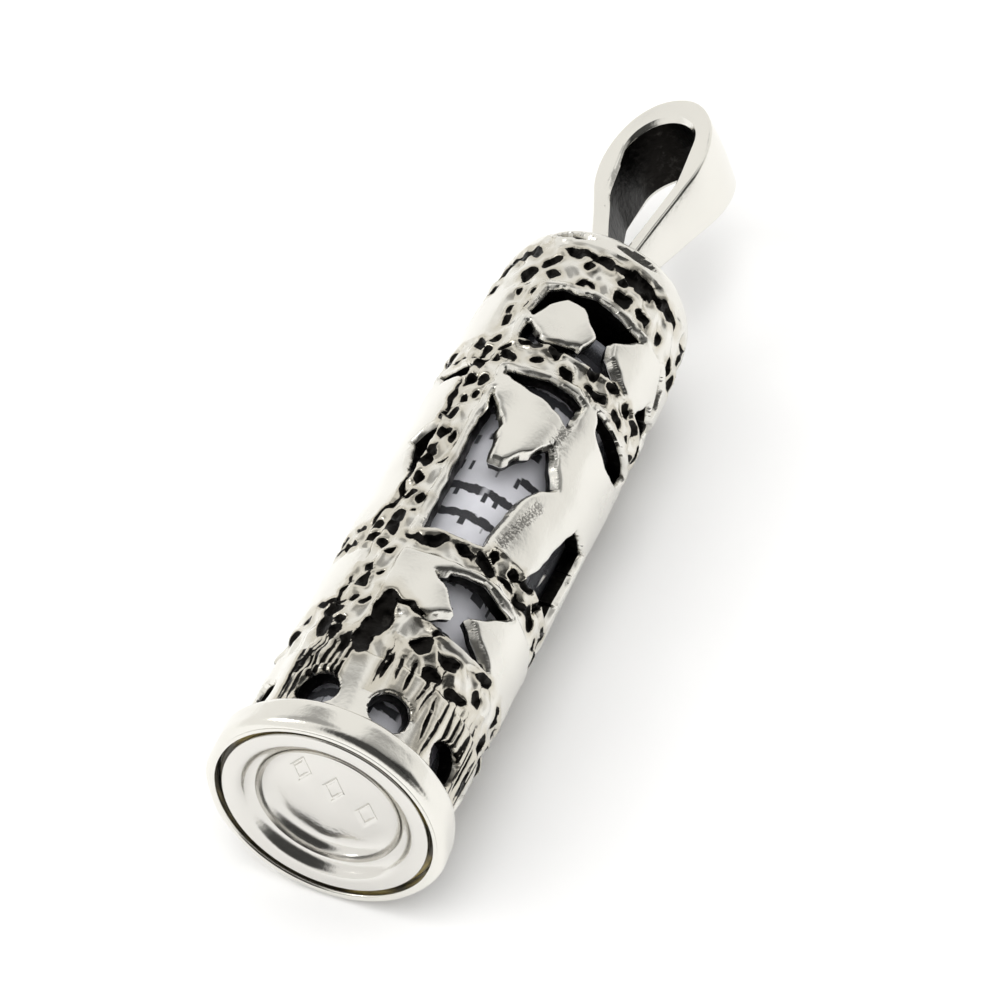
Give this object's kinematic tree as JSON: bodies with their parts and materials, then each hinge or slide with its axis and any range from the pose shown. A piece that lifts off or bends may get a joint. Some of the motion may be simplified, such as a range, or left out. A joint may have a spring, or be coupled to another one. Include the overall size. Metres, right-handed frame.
{
  "type": "mezuzah case pendant",
  "caption": "Openwork silver cylinder pendant that holds a rolled parchment, with a teardrop bail on its domed crown and a dished push-in stopper in its base.",
  "frame": {"origin": "centre of the base, in the plane of the collar's rim", "axes": "+Z along the case, towards the bail; the bail's hole runs along X; the front as worn faces -Y"},
  "size_m": [0.0102, 0.0102, 0.0424],
  "materials": {
    "oxidised_silver": "polished on the high parts, black oxide in the pits and recesses",
    "bail_silver": "polished outside, black oxide inside the loop",
    "collar_silver": "polished, lightly brushed",
    "pressed_silver": "bright pressed metal",
    "amber_seal": "satin",
    "clear_liner": "clear, glossy",
    "parchment": "matte, with plain abstract ink strokes"
  },
  "bodies": {
    "case": {"case_sleeve": "oxidised_silver", "crown_cap": "oxidised_silver", "bail": "bail_silver", "base_collar": "collar_silver", "sealing_ring": "amber_seal"},
    "stopper": {"stopper": "pressed_silver"},
    "liner": {"liner_tube": "clear_liner"},
    "scroll": {"parchment_scroll": "parchment"}
  },
  "joints": [
    {"name": "stopper_pull", "type": "slide", "parent": "case", "child": "stopper", "axis": [0, 0, -1], "range_m": [0, 0.054]},
    {"name": "liner_slide", "type": "slide", "parent": "case", "child": "liner", "axis": [0, 0, -1], "range_m": [0, 0.0275]},
    {"name": "scroll_slide", "type": "slide", "parent": "liner", "child": "scroll", "axis": [0, 0, -1], "range_m": [0, 0.0255]}
  ],
  "couplings": [
    {"joint": "liner_slide", "follows": "stopper_pull", "ratio": 0.5},
    {"joint": "scroll_slide", "follows": "stopper_pull", "ratio": 0.46}
  ]
}
